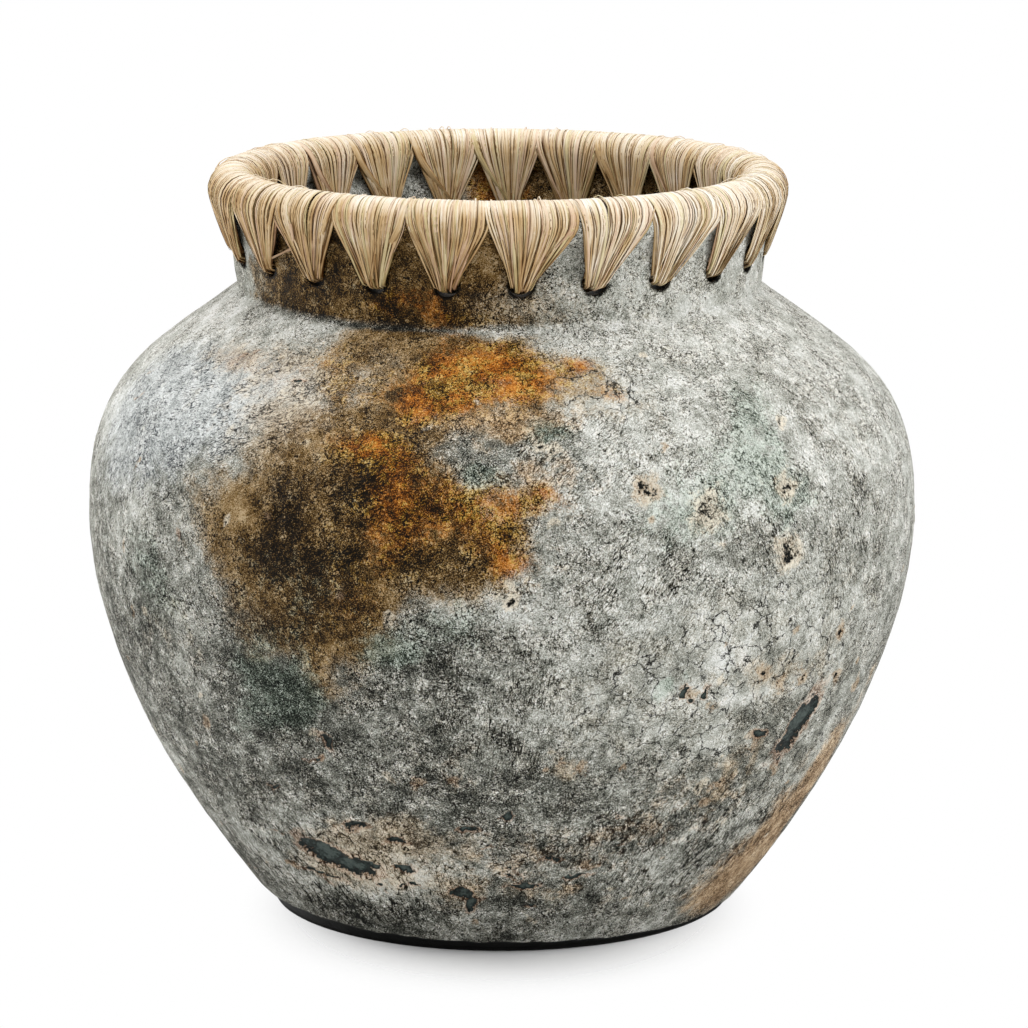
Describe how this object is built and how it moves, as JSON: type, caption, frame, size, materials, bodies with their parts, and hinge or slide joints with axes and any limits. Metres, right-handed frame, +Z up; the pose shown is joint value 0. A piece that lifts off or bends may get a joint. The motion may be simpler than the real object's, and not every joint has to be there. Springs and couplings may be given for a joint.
{
  "type": "terracotta vase",
  "caption": "Squat wide-mouthed clay vase with a flaring body, tight shoulder, short pierced neck and a thick rolled lip bound with fans of raffia.",
  "frame": {"origin": "centre of the flat foot, on the surface that the vase stands on", "axes": "+Z up along the axis of the thrown body; the pictured front faces -Y"},
  "size_m": [0.32, 0.32, 0.29],
  "materials": {
    "crusted_clay": "matt grey mineral crust over dark slip and fired red clay, with a rust-coloured burn and flaked spots",
    "raffia": "dry straw-coloured palm fibre strips with a slight sheen"
  },
  "bodies": {
    "root": {"vessel": "crusted_clay", "raffia_fan_01": "raffia", "raffia_fan_02": "raffia", "raffia_fan_03": "raffia", "raffia_fan_04": "raffia", "raffia_fan_05": "raffia", "raffia_fan_06": "raffia", "raffia_fan_07": "raffia", "raffia_fan_08": "raffia", "raffia_fan_09": "raffia", "raffia_fan_10": "raffia", "raffia_fan_11": "raffia", "raffia_fan_12": "raffia", "raffia_fan_13": "raffia", "raffia_fan_14": "raffia", "raffia_fan_15": "raffia", "raffia_fan_16": "raffia", "raffia_fan_17": "raffia", "raffia_fan_18": "raffia", "raffia_fan_19": "raffia", "raffia_fan_20": "raffia", "raffia_fan_21": "raffia", "raffia_fan_22": "raffia", "raffia_fan_23": "raffia"}
  },
  "joints": []
}
